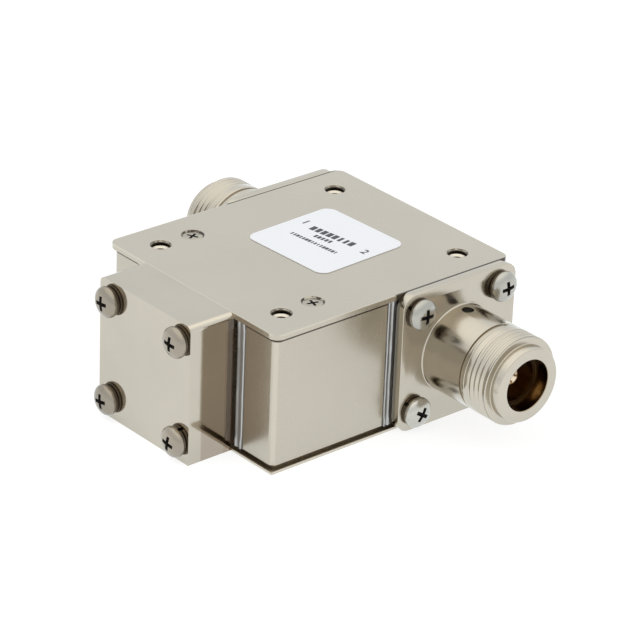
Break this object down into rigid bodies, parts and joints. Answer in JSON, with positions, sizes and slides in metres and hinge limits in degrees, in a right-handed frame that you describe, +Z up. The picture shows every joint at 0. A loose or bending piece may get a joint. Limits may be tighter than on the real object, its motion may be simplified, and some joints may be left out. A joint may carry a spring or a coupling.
{
  "type": "coaxial rf isolator",
  "caption": "Flat square nickel plated ferrite isolator with threaded coaxial jacks in line on opposite sides and a solid load block on the front.",
  "frame": {"origin": "middle of the four mounting holes on the underside of the case", "axes": "+Z up out of the label side, +X along the jacks towards port 2, the load block faces -Y"},
  "size_m": [0.083, 0.0628, 0.0255],
  "materials": {
    "plate_nickel": "nickel plate, satin",
    "shield_nickel": "nickel plate, half bright",
    "housing_nickel": "nickel plate, satin",
    "solder": "tinned, bright",
    "jack_nickel": "nickel plate, turned",
    "insulator_ptfe": "machined",
    "contact_gold": "gold plate",
    "epoxy_black": "cast",
    "screw_steel": "bare stainless, worn",
    "washer_steel": "bare stainless",
    "flush_screw_steel": "nickel plate",
    "load_nickel": "nickel plate, half bright",
    "chip_ceramic": "fired",
    "strip_silver": "silver plate",
    "ferrite": "ground",
    "dielectric": "fired",
    "ground_copper": "silver plate",
    "pole_steel": "zinc plate",
    "magnet": "ground",
    "shim_steel": "cold rolled",
    "label_film": "matt film"
  },
  "bodies": {
    "root": {"top_plate": "plate_nickel", "base_plate": "plate_nickel", "front_right_shield": "shield_nickel", "front_left_shield": "shield_nickel", "rear_shield": "shield_nickel", "housing": "housing_nickel", "solder_seams": "solder", "port_1_jack": "jack_nickel", "port_2_jack": "jack_nickel", "port_1_insulator": "insulator_ptfe", "port_2_insulator": "insulator_ptfe", "port_1_contact": "contact_gold", "port_2_contact": "contact_gold", "port_1_epoxy_plug": "epoxy_black", "port_2_epoxy_plug": "epoxy_black", "port_1_flange_screws": "screw_steel", "port_2_flange_screws": "screw_steel", "load_screws": "screw_steel", "port_1_lock_washers": "washer_steel", "port_2_lock_washers": "washer_steel", "load_lock_washers": "washer_steel", "cover_screws": "flush_screw_steel", "base_screws": "flush_screw_steel", "load_block": "load_nickel", "load_chip": "chip_ceramic", "load_chip_cover": "chip_ceramic", "centre_conductor": "strip_silver", "upper_ferrite": "ferrite", "lower_ferrite": "ferrite", "upper_dielectric_ring": "dielectric", "lower_dielectric_ring": "dielectric", "upper_ground_disc": "ground_copper", "lower_ground_disc": "ground_copper", "upper_pole_disc": "pole_steel", "lower_pole_disc": "pole_steel", "upper_magnet": "magnet", "lower_magnet": "magnet", "lower_shim_disc": "shim_steel", "label": "label_film"}
  },
  "joints": []
}
